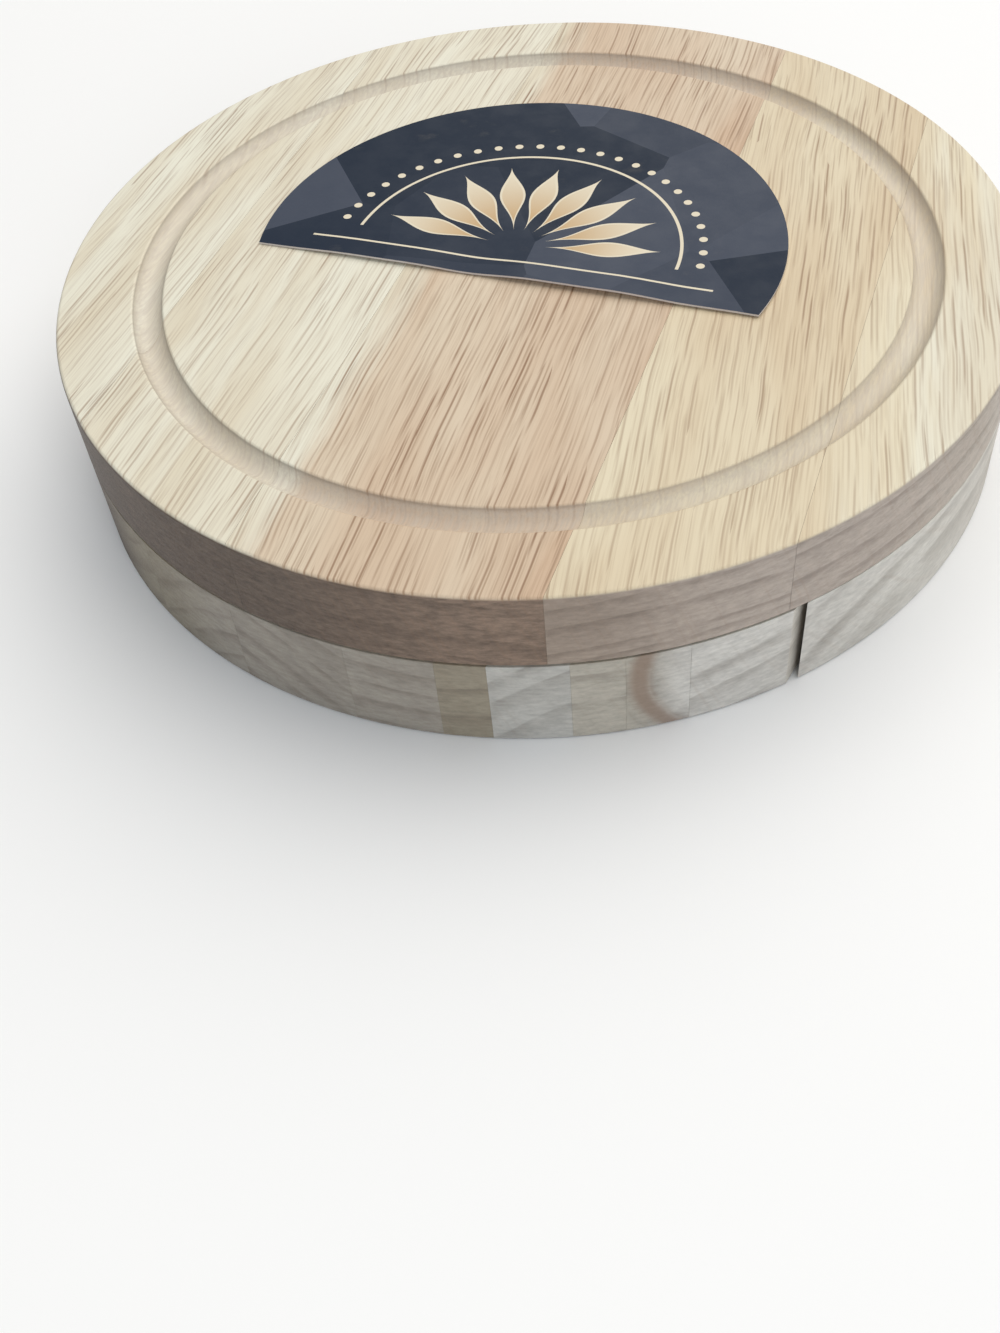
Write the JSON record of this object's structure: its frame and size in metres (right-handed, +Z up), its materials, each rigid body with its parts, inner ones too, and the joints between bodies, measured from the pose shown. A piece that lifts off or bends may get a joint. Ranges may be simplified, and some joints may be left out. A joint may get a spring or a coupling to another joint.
{
  "type": "swivel cheese board",
  "caption": "Round wooden serving board with a juice groove over a tray that swings out on a pivot bolt and holds cheese knives in routed pockets.",
  "frame": {"origin": "middle of the underside, on the surface that the board stands on", "axes": "+Z up through the serving face, +Y along the grain of the top board, +X across the grain"},
  "size_m": [0.2, 0.2, 0.0385],
  "materials": {
    "top_wood": "oiled pale rubberwood with fine dark pores",
    "tray_wood": "sanded pale rubberwood, bare end grain",
    "handle_wood": "oiled pale rubberwood",
    "knife_steel": "satin stainless steel",
    "zinc_steel": "bright zinc plate",
    "insert_brass": "plain turned brass",
    "spacer_nylon": "natural white nylon",
    "label_card": null
  },
  "bodies": {
    "board": {"top_stave_1": "top_wood", "top_stave_2": "top_wood", "top_stave_3": "top_wood", "top_stave_4": "top_wood", "top_stave_5": "top_wood", "foot_block": "tray_wood", "block_screw_1": "zinc_steel", "block_screw_2": "zinc_steel", "pivot_bolt": "zinc_steel", "pivot_washer": "zinc_steel", "pivot_spacer": "spacer_nylon", "pivot_insert": "insert_brass"},
    "tray": {"tray_stave_1": "tray_wood", "tray_stave_2": "tray_wood", "tray_stave_3": "tray_wood", "tray_stave_4": "tray_wood", "tray_stave_5": "tray_wood", "tray_stave_6": "tray_wood", "tray_stave_7": "tray_wood", "tray_stave_8": "tray_wood", "tray_stave_9": "tray_wood", "tray_stave_10": "tray_wood", "tray_stave_11": "tray_wood", "soft_knife_blade": "knife_steel", "soft_knife_ferrule": "knife_steel", "soft_knife_handle": "handle_wood", "flat_knife_blade": "knife_steel", "flat_knife_ferrule": "knife_steel", "flat_knife_handle": "handle_wood"},
    "card": {"label_card": "label_card"}
  },
  "joints": [
    {"name": "tray_swivel", "type": "hinge", "parent": "board", "child": "tray", "pos_m": [-0.05629, 0.061, 0], "axis": [0, 0, -1], "range_deg": [0, 180]},
    {"name": "card_lift", "type": "slide", "parent": "board", "child": "card", "axis": [0, 0, 1], "range_m": [0, 0.05]}
  ]
}
